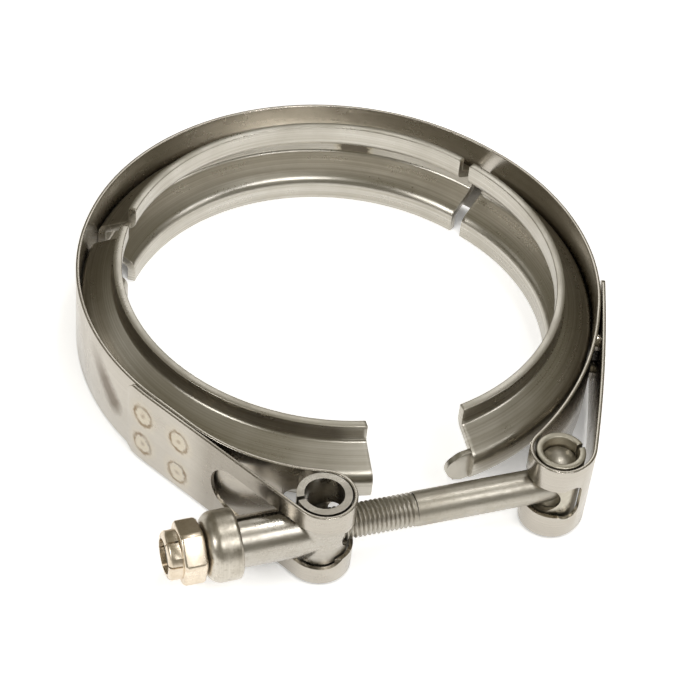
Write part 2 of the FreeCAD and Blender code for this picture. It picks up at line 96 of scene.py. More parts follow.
# Bolt line
SHANK_R, THREAD_R, THREAD_ROOT = 3.97, 3.9, 3.36
PITCH = 1.058
THREAD_START, THREAD_L = 33.85, 56.1
BOLT_POINT = 0.9
TEE_R, TEE_H, TEE_DOME = 3.98, 18.6, 1.6
SLEEVE_R, SLEEVE_FIT, SLEEVE_H = 5.6, 0.1, 21.2
SLEEVE_SEAM, SLEEVE_SEAM_AT = 1.0, 3.0
WINDOW_H, WINDOW_FROM, WINDOW_TO = 9.0, 140.0, 255.0
FERRULE_X, FERRULE_R, FERRULE_L = -51.95, 7.95, 7.5
FERRULE_DOME, FERRULE_EDGE, FERRULE_FACE = 3.2, 0.9, 2.2
FERRULE_BORE = 5.7 + 0.08
FERRULE_HOLE = SHANK_R + 0.35
NUT_X, NUT_L, NUT_AF = -57.55, 5.3, 12.7
NUT_CHAMFER = 0.7
CROWN_R, CROWN_L, CROWN_SLOTS, CROWN_SLIT = 5.5, 2.95, 6, 0.42
CROWN_ROUND, CROWN_SLOPE = 0.8, 0.3     # its rounded rim, and how much narrower the rim stands
NUT_TURN = 12.0

MID = RAIL_H / 2
STRAP_LOW = MID - STRAP_W / 2
STRAP_R = RING_R - STRAP_T / 2
LEAF_R = STRAP_R + STRAP_T + SEAT


# ---- plane geometry, the same constructions as the CAD source uses ----

def polar(radius, degrees):
    a = math.radians(degrees)
    return (radius * math.cos(a), radius * math.sin(a))


def add(p, q, k=1.0):
    return (p[0] + q[0] * k, p[1] + q[1] * k)


def angle_of(p, q):
    return math.degrees(math.atan2(q[1] - p[1], q[0] - p[0]))


def turned(p, centre, degrees):
    a = math.radians(degrees)
    dx, dy = p[0] - centre[0], p[1] - centre[1]
    return (centre[0] + dx * math.cos(a) - dy * math.sin(a), centre[1] + dx * math.sin(a) + dy * math.cos(a))


hinge_left = polar(STRAP_R, GAP_LEFT)
hinge_right = polar(STRAP_R, GAP_RIGHT)
centre_left = turned((0.0, 0.0), hinge_left, -OPEN_LEFT)
centre_right = turned((0.0, 0.0), hinge_right, OPEN_RIGHT)


def loop_path(side, loop, radius, contact):
    """One end of the strap: from the leaf's tip round the loop and back to the ring.

    Gives the path, the direction of the ring's radius where the leaf leaves it, and the leaf's own direction.
    side is 1 for the left end and -1 for the right one.
    """
    centre = centre_left if side > 0 else centre_right
    dist = math.hypot(loop[0] - centre[0], loop[1] - centre[1])
    lift = LEAF_R - radius
    normal = angle_of(centre, loop) - side * math.degrees(math.acos(lift / dist))
    along = normal + side * 90.0
    foot = add(centre, polar(STRAP_R, normal))
    start = add(foot, polar(contact, along))
    reach = math.sqrt(dist ** 2 - lift ** 2) - contact
    drop = STRAP_R - lift
    bend = (reach ** 2 + drop ** 2 - radius ** 2) / (2.0 * (radius + drop))
    bend_centre = add(start, polar(bend, normal + 180.0))
    swing = math.degrees(math.atan2(reach, bend - drop))
    back = [("arc", loop, radius, normal, normal + side * (180.0 + swing)),
            ("arc", bend_centre, bend, normal + side * swing, normal),
            ("line", start, foot)]
    if side > 0:
        tail = math.degrees(LEAF_TAIL / LEAF_R)
        tangent = add(centre, polar(LEAF_R, normal))
        front = [("arc", centre, LEAF_R, normal - tail, normal),
                 ("line", tangent, add(loop, polar(radius, normal)))]
        return front + back, normal, along
    tip = add(centre, polar(RING_R + LEAF_LIFT + STRAP_T / 2, LEAF_END))
    turn_centre = add(loop, polar(LEAF_TURN - radius, LEAF_TURN_TO + 180.0))
    gap = math.hypot(tip[0] - turn_centre[0], tip[1] - turn_centre[1])
    far = LEAF_BOW - LEAF_TURN
    a = (far ** 2 - LEAF_BOW ** 2 + gap ** 2) / (2.0 * gap)
    to_tip = angle_of(turn_centre, tip)
    bow_centre = add(add(turn_centre, polar(a, to_tip)), polar(math.sqrt(far ** 2 - a ** 2), to_tip + 90.0))
    turn_from = angle_of(bow_centre, turn_centre)
    back[0] = ("arc", loop, radius, LEAF_TURN_TO, back[0][4])
    front = [("arc", bow_centre, LEAF_BOW, angle_of(bow_centre, tip), turn_from),
             ("arc", turn_centre, LEAF_TURN, turn_from, LEAF_TURN_TO)]
    return front + back, normal, along


def reversed_path(path):
    return [("line", s[2], s[1]) if s[0] == "line" else ("arc", s[1], s[2], s[4], s[3]) for s in reversed(path)]


def flex_arc(centre, first, last):
    """Arc that joins the rear of the ring, at first, to a half that has swung about its hinge, at last."""
    p = polar(STRAP_R, first)
    q = add(centre, polar(STRAP_R, last))
    ux, uy = p[0] / STRAP_R, p[1] / STRAP_R
    dx, dy = p[0] - q[0], p[1] - q[1]
    r = (dx * dx + dy * dy) / (2.0 * (dx * ux + dy * uy))
    c = add(p, (ux, uy), -r)
    a0, a1 = angle_of(c, p), angle_of(c, q)
    return ("arc", c, r, a0, a0 + (a1 - a0 + 180.0) % 360.0 - 180.0)


def rounded_path(points, radius):
    """Lines between the points, with an arc at each bend."""
    path = []
    here = points[0]
    for k in range(1, len(points) - 1):
        p, c, q = points[k - 1], points[k], points[k + 1]
        a_in, a_out = angle_of(p, c), angle_of(c, q)
        turn = (a_out - a_in + 180.0) % 360.0 - 180.0
        cut = radius * math.tan(math.radians(abs(turn) / 2.0))
        start = add(c, polar(cut, a_in + 180.0))
        side = 90.0 if turn > 0 else -90.0
        centre = add(start, polar(radius, a_in + side))
        path.append(("line", here, start))
        path.append(("arc", centre, radius, a_in - side, a_in - side + turn))
        here = add(c, polar(cut, a_out))
    path.append(("line", here, points[-1]))
    return path


def walk(path, step=1.0, most_degrees=4.0):
    """Points along a path: (x, y, direction in degrees, length so far)."""
    out, s = [], 0.0
    for item in path:
        if item[0] == "line":
            p, q = item[1], item[2]
            length = math.hypot(q[0] - p[0], q[1] - p[1])
            n = max(1, round(length / step))
            a = angle_of(p, q)
            pts = [(p[0] + (q[0] - p[0]) * k / n, p[1] + (q[1] - p[1]) * k / n, a) for k in range(n + 1)]
        else:
            c, r, a0, a1 = item[1:]
            length = abs(math.radians(a1 - a0)) * r
            n = max(1, math.ceil(max(length / step, abs(a1 - a0) / most_degrees)))
            turn = 90.0 if a1 > a0 else -90.0
            pts = []
            for k in range(n + 1):
                a = a0 + (a1 - a0) * k / n
                x, y = add(c, polar(r, a))
                pts.append((x, y, a + turn))
        for k, (x, y, a) in enumerate(pts):
            if k or not out:
                out.append((x, y, a, s + length * k / n))
        s += length
    return out


# ---- meshes ----

def mesh_object(name, verts, faces, uvs=None):
    """Object from lists in millimetres. uvs is one (u, v) per vertex, in millimetres too."""
    mesh = bpy.data.meshes.new(name)
    mesh.from_pydata([tuple(c * MM for c in v) for v in verts], [], faces)
    if uvs:
        layer = mesh.uv_layers.new(name="length")
        for loop in mesh.loops:
            layer.data[loop.index].uv = uvs[loop.vertex_index]
    bm = bmesh.new()
    bm.from_mesh(mesh)
    bmesh.ops.recalc_face_normals(bm, faces=bm.faces)
    bm.to_mesh(mesh)
    bm.free()
    ob = bpy.data.objects.new(name, mesh)
    bpy.context.scene.collection.objects.link(ob)
    return ob


def grid_faces(rows, cols):
    """Faces of a tube of closed rows, with a cap at both ends."""
    faces = []
    for i in range(rows - 1):
        for j in range(cols):
            k = (j + 1) % cols
            faces.append((i * cols + j, i * cols + k, (i + 1) * cols + k, (i + 1) * cols + j))
    faces.append(tuple(range(cols)))
    faces.append(tuple((rows - 1) * cols + j for j in range(cols)))
    return faces


def bake(ob):
    """Applies the modifiers and shades smooth, with creases kept sharp."""
    bpy.context.view_layer.update()
    dg = bpy.context.evaluated_depsgraph_get()
    mesh = bpy.data.meshes.new_from_object(ob.evaluated_get(dg))
    ob.modifiers.clear()
    old = ob.data
    ob.data = mesh
    bpy.data.meshes.remove(old)
    mesh.name = ob.name
    soften(ob)
    return ob


def soften(ob, degrees=38.0):
    ob.data.shade_smooth()
    ob.data.set_sharp_from_angle(angle=math.radians(degrees))


def boolean(ob, tools, operation="DIFFERENCE"):
    for k, tool in enumerate(tools):
        m = ob.modifiers.new("cut%d" % k, "BOOLEAN")
        m.operation, m.solver, m.object = operation, "EXACT", tool
    bake(ob)
    for tool in tools:
        bpy.data.objects.remove(tool)
    return ob


def bevel(ob, width, degrees=50.0, segments=2):
    """Rounds the edges that are sharper than degrees."""
    m = ob.modifiers.new("edges", "BEVEL")
    m.width, m.segments, m.limit_method = width * MM, segments, "ANGLE"
    m.angle_limit = math.radians(degrees)
    m.use_clamp_overlap = True
    return bake(ob)


def join(*obs):
    """One object of several closed meshes."""
    bm = bmesh.new()
    for o in obs:
        o.data.transform(o.matrix_world)
        bm.from_mesh(o.data)
    bm.to_mesh(obs[0].data)
    bm.free()
    for o in obs[1:]:
        bpy.data.objects.remove(o)
    return obs[0]


def ribbon(name, path, thickness, low, high, step=1.0, edge=0.0, corners=None, most_degrees=4.0,
           first_s=0.0):
    """Sheet of even thickness on edge along a path, and its length.

    corners = (length, at_start, at_end) cuts its corners. edge is the radius of its long edges.
    """
    pts = walk(path, step, most_degrees)
    total = pts[-1][3]
    h = thickness / 2
    if edge:
        loop = []
        for cx, cz, a0 in ((h - edge, high - edge, 0.0), (-h + edge, high - edge, 90.0),
                           (-h + edge, low + edge, 180.0), (h - edge, low + edge, 270.0)):
            loop += [(cx + edge * math.cos(math.radians(a0 + a)), cz + edge * math.sin(math.radians(a0 + a)))
                     for a in (0.0, 30.0, 60.0, 90.0)]
    else:
        loop = [(h, high), (-h, high), (-h, low), (h, low)]
    middle = (low + high) / 2
    verts, uvs = [], []
    for x, y, a, s in pts:
        cut = 0.0
        if corners:
            length, at_start, at_end = corners
            near = s if at_start else (total - s if at_end else length)
            cut = max(0.0, length - near)
        nx, ny = polar(1.0, a + 90.0)
        for t, z in loop:
            z = z - cut if z > middle else z + cut
            verts.append((x + nx * t, y + ny * t, z))
            uvs.append((first_s + s, z))
    return mesh_object(name, verts, grid_faces(len(pts), len(loop)), uvs), total


def rod(name, radius, length, at, direction, segments=48):
    """Closed cylinder from at along direction, in millimetres."""
    d = Vector(direction).normalized()
    x = d.orthogonal().normalized()
    y = d.cross(x)
    verts = []
    for k in (0.0, length):
        for j in range(segments):
            a = 2 * math.pi * j / segments
            verts.append(tuple(Vector(at) + d * k + (x * math.cos(a) + y * math.sin(a)) * radius))
    return mesh_object(name, verts, grid_faces(2, segments))


def lathe(name, profile, axis="X", segments=96):
    """Surface of revolution of (along, radius) points, on the axis at both ends or closed as a ring."""
    ring = profile[0][1] > 0 or profile[-1][1] > 0
    verts, uvs, rows = [], [], []
    for x, r in profile:
        if r <= 1e-6:
            rows.append([len(verts)])
            verts.append((x, 0, 0))
            uvs.append((x, 0))
            continue
        rows.append(list(range(len(verts), len(verts) + segments)))
        for j in range(segments):
            a = 2 * math.pi * j / segments
            verts.append((x, r * math.cos(a), r * math.sin(a)))
            uvs.append((x, r * a))
    faces = []
    pairs = list(zip(rows, rows[1:])) + ([(rows[-1], rows[0])] if ring else [])
    for a, b in pairs:
        for j in range(segments):
            k = (j + 1) % segments
            quad = [a[j % len(a)], a[k % len(a)], b[k % len(b)], b[j % len(b)]]
            quad = list(dict.fromkeys(quad))
            if len(quad) > 2:
                faces.append(tuple(quad))
    if axis == "Z":
        verts = [(y, z, x) for x, y, z in verts]
    return mesh_object(name, verts, faces, uvs)


def arc_points(cx, cy, r, a0, a1, n):
    return [(cx + r * math.cos(math.radians(a0 + (a1 - a0) * k / n)),
             cy + r * math.sin(math.radians(a0 + (a1 - a0) * k / n))) for k in range(n + 1)]


# ---- strap ----

left_path, left_normal, left_along = loop_path(1, LEFT_LOOP, BARREL_LOOP, CONTACT_LEFT)
right_path, right_normal, right_along = loop_path(-1, RIGHT_LOOP, SLEEVE_LOOP, CONTACT_RIGHT)
gl, gr = GAP_LEFT_SPAN * FLEX_SHARE, GAP_RIGHT_SPAN * FLEX_SHARE
left_ring_end = GAP_LEFT + gl - OPEN_LEFT
right_ring_end = GAP_RIGHT - gr + OPEN_RIGHT
REAR_SPLIT = 90.0                       # the strap is made in two halves that meet here

left_half_path = left_path + [("arc", centre_left, STRAP_R, left_normal + 360.0, left_ring_end)]
left_half_path += reversed_path([flex_arc(centre_left, GAP_LEFT - gl, left_ring_end)])
left_half_path += [("arc", (0.0, 0.0), STRAP_R, GAP_LEFT - gl, REAR_SPLIT)]
right_half_path = [("arc", (0.0, 0.0), STRAP_R, REAR_SPLIT, GAP_RIGHT + gr),
                   flex_arc(centre_right, GAP_RIGHT + gr, right_ring_end),
                   ("arc", centre_right, STRAP_R, right_ring_end, right_normal)] + reversed_path(right_path)


def radial_rod(name, at, outward, radius):
    """Cutter for the round end of a slot, through the sheet at a point of its path."""
    x, y = polar(1.0, outward)
    return rod(name, radius, 2 * STRAP_T, (at[0] - x * STRAP_T, at[1] - y * STRAP_T, MID), (x, y, 0), 64)


def slot_cutter(name, path, half):
    return ribbon(name, path, 2 * STRAP_T, MID - half, MID + half, step=0.7, most_degrees=3.0)[0]


def keyhole_cutter(name):
    """Cutter for the rounded wide end of the right loop's slot."""
    x, y = polar(1.0, KEY_AT)
    outline = []
    for cy, cz, a0 in ((1, 1, 0), (-1, 1, 90), (-1, -1, 180), (1, -1, 270)):
        outline += arc_points(cy * (KEY_W / 2 - KEY_CORNER), cz * (KEY_H / 2 - KEY_CORNER), KEY_CORNER,
                              a0, a0 + 90, 12)
    verts = [(RIGHT_LOOP[0] + x * r - y * t, RIGHT_LOOP[1] + y * r + x * t, MID + z)
             for r in (SLEEVE_LOOP - 3.0, SLEEVE_LOOP + 3.0) for t, z in outline]
    return mesh_object(name, verts, grid_faces(2, len(outline)))


strap_left, left_length = ribbon("strap_left", left_half_path, STRAP_T, STRAP_LOW, STRAP_LOW + STRAP_W,
                                 step=0.8, edge=STRAP_ROUND, corners=(LEAF_CORNER, True, False),
                                 most_degrees=3.0)
half, slim = SLOT_LEFT_H / 2, SLOT_BOLT_H / 2
p0 = add(left_path[1][1], polar(SLOT_LEFT_START + half, left_along))
bend_centre, bend_r, bend_a0 = left_path[3][1:4]
bend_a1 = bend_a0 - math.degrees((SLOT_BACK - slim) / bend_r)
boolean(strap_left, [
    slot_cutter("c1", [("line", p0, left_path[1][2]),
                       ("arc", LEFT_LOOP, BARREL_LOOP, left_normal, SLOT_WIDE_TO)], half),
    radial_rod("c2", p0, left_normal, half),
    radial_rod("c3", add(LEFT_LOOP, polar(BARREL_LOOP, SLOT_WIDE_TO)), SLOT_WIDE_TO, half),
    slot_cutter("c4", [("arc", LEFT_LOOP, BARREL_LOOP, SLOT_WIDE_TO, left_path[2][4]),
                       ("arc", bend_centre, bend_r, bend_a0, bend_a1)], slim),
    radial_rod("c5", add(bend_centre, polar(bend_r, bend_a1)), bend_a1, slim)])

strap_right, right_length = ribbon("strap_right", right_half_path, STRAP_T, STRAP_LOW, STRAP_LOW + STRAP_W,
                                   step=0.8, edge=STRAP_ROUND, corners=(LEAF_CORNER, False, True),
                                   most_degrees=3.0, first_s=left_length)
slot_end = right_path[2][4] + math.degrees(slim / SLEEVE_LOOP)
boolean(strap_right, [
    slot_cutter("c6", [("arc", RIGHT_LOOP, SLEEVE_LOOP, KEY_AT, slot_end)], slim),
    radial_rod("c7", add(RIGHT_LOOP, polar(SLEEVE_LOOP, slot_end)), slot_end, slim),
    keyhole_cutter("c8")])


def open_split(ob):
    """Takes the end face off where the two halves meet at the rear, so that no bevel forms there."""
    bm = bmesh.new()
    bm.from_mesh(ob.data)
    rear = 0.8 * RING_R * MM
    ends = [f for f in bm.faces if all(abs(v.co.x) < 1e-5 and v.co.y > rear for v in f.verts)]
    bmesh.ops.delete(bm, geom=ends, context="FACES_ONLY")
    bm.to_mesh(ob.data)
    bm.free()


for ob in (strap_left, strap_right):
    open_split(ob)
    bevel(ob, STRAP_BEVEL, degrees=60.0)

# weld nuggets seen in the slit under the right leaf
under = STRAP_R - 0.2
nugget_height = RING_R + LEAF_LIFT + 0.1 - under
x, y = polar(1.0, right_normal)
nuggets = []
for along in WELDS_RIGHT:
    at = add(add(centre_right, polar(under, right_normal)), polar(along, right_along))
    for dz in (-WELD_PITCH / 2, WELD_PITCH / 2):
        nuggets.append(rod("nugget", WELD_R, nugget_height, (at[0], at[1], MID + dz), (x, y, 0), 24))
        soften(nuggets[-1])
join(strap_right, *nuggets)
soften(strap_right)

for ob in (strap_left, strap_right):
    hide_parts("strap")

# The strap's bends in the gaps are already in its path; here each half only has its transform baked into its
# mesh.
for ob, body, at, span, side in ((strap_left, "left_half", GAP_LEFT, gl, 1),
                                 (strap_right, "right_half", GAP_RIGHT, gr, -1)):
    a, b = polar(STRAP_R, at - side * span), polar(STRAP_R, at + side * span)
    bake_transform(ob)


# ---- retainers ----

def rail_outline():
    """Closed outline of the V section, as (radius, z, length along the sheet)."""
    lip = LIP_R + RAIL_T / 2
    web = RING_R - STRAP_T - SEAT - RAIL_T / 2
    h, flat = RAIL_H / 2, WEB_H / 2
    pts = [(lip, h), (lip, h - LIP_H), (web, flat), (web, -flat), (lip, LIP_H - h), (lip, -h)]
    line = walk(rounded_path(pts, BEND_R), step=1.2, most_degrees=9.0)
    e = LIP_EDGE
    half = RAIL_T / 2
    total = line[-1][3]
    line = [p for p in line if e + 0.1 < p[3] < total - e - 0.1]
    one, two = [], []
    for x, z, a, s in line:
        nx, nz = polar(half, a + 90.0)
        one.append((x + nx, z + nz, s))
        two.append((x - nx, z - nz, s))
    end_low = [(lip + half - e + e * math.cos(math.radians(a)), -h + e + e * math.sin(math.radians(a)), total)
               for a in (0, -30, -60, -90)]
    end_low = [(lip + half, -h + e, total)] + end_low[1:] + [
        (lip - half + e + e * math.cos(math.radians(a)), -h + e + e * math.sin(math.radians(a)), total)
        for a in (-90, -120, -150, -180)]
    end_high = [(x, -z, 0.0) for x, z, s in reversed(end_low)]
    # "one" is the side to the left of the way down, which is the outer side
    return one + end_low + list(reversed(two)) + end_high


def rail(name, a0, a1, skew0=0.0, skew1=0.0):
    """V section turned from a0 to a1; a skewed end stands further out at the web."""
    outline = rail_outline()
    n = math.ceil(abs(a1 - a0))
    verts, uvs = [], []
    for i in range(n + 1):
        f = i / n
        for r, z, v in outline:
            lean = math.degrees(math.atan(math.tan(math.radians(FRONT_SKEW)) * (r - LIP_R) / r))
            a = a0 - skew0 * lean + f * (a1 + skew1 * lean - a0 + skew0 * lean)
            x, y = polar(r, a)
            verts.append((x, y, MID + z))
            uvs.append((math.radians(a) * RAIL_UV_R, v))
    ob = mesh_object(name, verts, grid_faces(n + 1, len(outline)), uvs)
    return bevel(ob, RAIL_EDGE, degrees=60.0)


def tongue(end):
    """Rounded tab beyond the right retainer's sawn end, creased where its tip is bent inwards."""
    outer = RING_R - STRAP_T - SEAT - TONGUE_STEP
    w = TONGUE_W / 2
    n, m = 26, 14
    verts = []
    for i in range(n + 1):
        t = min(TONGUE_L * (i / n) ** 0.8, TONGUE_L - 0.02)
        near = TONGUE_L - t
        half_w = w if near > w else math.sqrt(max(w * w - (w - near) ** 2, 0.01))
        a = end - TONGUE_ROOT - math.degrees((t - math.radians(TONGUE_ROOT) * outer) / outer)
        for side in (0, 1):
            for j in range(m + 1):
                z = half_w * (2 * j / m - 1) * (1 if side == 0 else -1)
                crown = TONGUE_CROWN * (z / w) ** 2
                crease = TONGUE_L * (0.62 + 0.22 * z / w)
                bend = TONGUE_BEND * max(0.0, t - crease)
                r = outer - bend - crown - (TONGUE_T if side else 0.0)
                x, y = polar(r, a)
                verts.append((x, y, MID + z))
    ob = mesh_object("tongue", verts, grid_faces(n + 1, 2 * (m + 1)))
    return bevel(ob, 0.25, degrees=50.0, segments=3)


def turn_about(ob, centre, degrees):
    """Turns a piece about an upright line through centre."""
    c = Vector((centre[0] * MM, centre[1] * MM, 0.0))
    turn = Matrix.Rotation(math.radians(degrees), 4, "Z")
    ob.data.transform(Matrix.Translation(c) @ turn @ Matrix.Translation(-c))


rear_rail = rail("rear_rail", GAP_RIGHT + GAP_RIGHT_SPAN / 2, GAP_LEFT - GAP_LEFT_SPAN / 2)
left_rail = rail("left_rail", GAP_LEFT + GAP_LEFT_SPAN / 2, LEFT_END + OPEN_LEFT, skew1=1.0)
right_rail = rail("right_rail", RIGHT_END - OPEN_RIGHT, GAP_RIGHT - GAP_RIGHT_SPAN / 2, skew0=1.0)
right_rail = join(right_rail, tongue(RIGHT_END - OPEN_RIGHT))
soften(right_rail)
turn_about(left_rail, hinge_left, -OPEN_LEFT)
turn_about(right_rail, hinge_right, OPEN_RIGHT)
for ob, node, body in ((rear_rail, "retainer_rear", "band"), (left_rail, "retainer_left", "left_half"),
                       (right_rail, "retainer_right", "right_half")):
    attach(ob, body)
    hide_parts(node)


# ---- T-bolt and its sleeve ----

def thread(name, x_start, length, root, crest, pitch, segments=40):
    """Helical ridge from x_start towards -X. Its turns run out into the cylinder at both ends.

    profile is one turn's shape: (share of the pitch, share of the depth).
    """
    profile = [(0.0, 0.0), (0.10, 0.12), (0.38, 0.92), (0.50, 1.0), (0.62, 0.92), (0.90, 0.12)]
    turns = length / pitch
    steps = int(turns * segments)
    cols = len(profile)
    verts, uvs = [], []
    for k in range(steps + segments + 1):
        a = 2 * math.pi * k / segments
        base = x_start - pitch * (k / segments - 0.5)
        for q, up in profile:
            xx = max(min(base - pitch * q, x_start), x_start - length)
            inside = min(1.0, (x_start - xx) / (1.2 * pitch))
            tip = min(1.0, max(0.0, (xx - (x_start - length)) / BOLT_POINT))
            r = crest - (crest - root) * (1.0 - up) * inside
            r = min(r, crest - BOLT_POINT * (1.0 - tip))
            verts.append((xx, r * math.cos(a), -r * math.sin(a)))
            uvs.append((xx, r * a))
    faces = []
    for k in range(steps + segments):
        for j in range(cols):
            a = k * cols + j
            b = (k + 1) * cols + j
            if j < cols - 1:
                c, d = b + 1, a + 1
            elif k < steps:
                c, d = (k + 1 + segments) * cols, (k + segments) * cols
            else:
                continue
            faces.append((a, b, c, d))
    return mesh_object(name, verts, faces, uvs)


def place(ob, x):
    """Moves a piece from the origin to x on the bolt's line."""
    ob.data.transform(Matrix.Translation((x * MM, BOLT_Y * MM, MID * MM)))


shank = lathe("shank", [(0.0, 0.0), (0.0, SHANK_R), (-THREAD_START + 0.5, SHANK_R), (-THREAD_START, THREAD_R),
                        (-THREAD_START, 0.0)])
core_from, core_to = -THREAD_START + 1.0, -THREAD_START - THREAD_L + 0.05
core = lathe("core", [(core_from, 0.0), (core_from, THREAD_ROOT), (core_to, THREAD_ROOT - 0.3), (core_to, 0.0)],
             segments=64)
ridge = thread("ridge", -THREAD_START, THREAD_L, THREAD_ROOT, THREAD_R, PITCH)
dome = (TEE_R ** 2 + TEE_DOME ** 2) / (2 * TEE_DOME)
span = math.degrees(math.asin(TEE_R / dome))
top = arc_points(TEE_H / 2 - dome, 0.0, dome, 0, span, 10)
bar = lathe("bar", [(x, max(y, 0.0)) for x, y in top] + [(-x, max(y, 0.0)) for x, y in reversed(top)], axis="Z")
bevel(bar, 0.35, degrees=40.0, segments=3)
for ob in (shank, core, ridge):
    soften(ob, 50.0)
bolt = join(bar, shank, core, ridge)
bolt.name = "t_bolt"
place(bolt, RIGHT_LOOP[0])
soften(bolt, 50.0)
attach(bolt, "tee")
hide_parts("tee_bolt")

# the sleeve is a rolled sheet with a seam, and a window for the shank
bore = TEE_R + SLEEVE_FIT
sheet_r = (bore + SLEEVE_R) / 2
seam = math.degrees(SLEEVE_SEAM / sheet_r) / 2
path = [("arc", (0.0, 0.0), sheet_r, SLEEVE_SEAM_AT + seam, SLEEVE_SEAM_AT + 360.0 - seam)]
roll = ribbon("sleeve_roll", path, SLEEVE_R - bore, -SLEEVE_H / 2, SLEEVE_H / 2, step=0.5, edge=0.22)[0]
inset = math.degrees(WINDOW_H / 2 / SLEEVE_R)
w0, w1 = WINDOW_FROM + inset, WINDOW_TO - inset
cutters = [ribbon("w0", [("arc", (0.0, 0.0), sheet_r, w0, w1)], SLEEVE_R - bore + 1.0,
                  -WINDOW_H / 2, WINDOW_H / 2, step=0.5)[0]]
for a, start in ((w0, 0.0), (w1, bore / 2)):
    x, y = polar(1.0, a)
    cutters.append(rod("w1", WINDOW_H / 2, 1.2 * SLEEVE_R, (x * start, y * start, 0), (x, y, 0), 64))
boolean(roll, cutters)
bevel(roll, 0.15, degrees=55.0)
place(roll, RIGHT_LOOP[0])
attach(roll, "tee")
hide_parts("sleeve")

# ---- ferrule ----

prof = [(0.0, FERRULE_HOLE), (0.0, FERRULE_R - FERRULE_DOME)]
prof += [(FERRULE_DOME * (1 - math.cos(a)), FERRULE_R - FERRULE_DOME * (1 - math.sin(a)))
         for a in (math.pi / 2 * k / 14 for k in range(1, 15))]
prof += [(FERRULE_L - FERRULE_EDGE * (1 - math.sin(a)), FERRULE_R - FERRULE_EDGE * (1 - math.cos(a)))
         for a in (math.pi / 2 * k / 8 for k in range(9))]
prof += [(FERRULE_L, FERRULE_BORE), (FERRULE_FACE, FERRULE_BORE), (FERRULE_FACE, FERRULE_HOLE)]
cap = lathe("ferrule_cap", prof, segments=128)
soften(cap, 40.0)
place(cap, FERRULE_X)
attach(cap, "saddle")
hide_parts("ferrule")

# ---- lock nut ----

corner = NUT_AF / math.sqrt(3)
flat = NUT_AF / 2
hexagon = [(corner * math.sin(math.radians(60 * k)), corner * math.cos(math.radians(60 * k))) for k in range(6)]
nut = mesh_object("nut", [(x, a, b) for x in (0.0, NUT_L) for a, b in hexagon], grid_faces(2, 6))
bevel(nut, NUT_CHAMFER, degrees=50.0, segments=5)
# the hexagon's corners are turned down to rounded shoulders at both faces
rim = [(NUT_L / 2 - NUT_L / 2 * math.cos(a), flat - 0.55 + (corner - flat + 0.62) * math.sin(a) ** 0.55)
       for a in (math.pi * (k + 0.5) / 32 for k in range(32))]
shoulders = [(0.0, 0.0), (0.0, flat - NUT_CHAMFER)] + rim + [(NUT_L, flat - NUT_CHAMFER), (NUT_L, 0.0)]
boolean(nut, [lathe("n0", shoulders, segments=180)], "INTERSECT")
crown_prof = [(-CROWN_L, 0.0), (-CROWN_L, CROWN_R - CROWN_ROUND - CROWN_SLOPE)] + [
    (-CROWN_L + CROWN_ROUND * (1 - math.sin(a)),
     CROWN_R - CROWN_ROUND * (1 - math.cos(a)) - CROWN_SLOPE * math.sin(a))
    for a in (math.pi / 2 * (1 - k / 6) for k in range(7))] + [(0.5, CROWN_R), (0.5, 0.0)]
boolean(nut, [lathe("n1", crown_prof, segments=128)], "UNION")
boolean(nut, [rod("n2", THREAD_R + 0.05, 14.0, (-6.0, 0, 0), (1, 0, 0), 96)])
cuts = []
for k in range(CROWN_SLOTS):
    a = math.radians(360.0 / CROWN_SLOTS * k)
    d, e = Vector((0, -math.sin(a), math.cos(a))), Vector((0, math.cos(a), math.sin(a)))
    pts = []
    for xx in (-CROWN_L - 1.0, -0.15):
        for rr, ww in ((0.5, -1), (CROWN_R + 1, -1), (CROWN_R + 1, 1), (0.5, 1)):
            pts.append(tuple(Vector((xx, 0, 0)) + d * rr + e * (ww * CROWN_SLIT / 2)))
    cuts.append(mesh_object("n3", pts, grid_faces(2, 4)))
boolean(nut, cuts)
bevel(nut, 0.10, degrees=62.0, segments=2)
nut.name = "lock_nut_body"
nut.data.transform(Matrix.Rotation(math.radians(NUT_TURN), 4, "X"))
place(nut, NUT_X)
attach(nut, "nut")
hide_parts("lock_nut")


# ---- materials ----

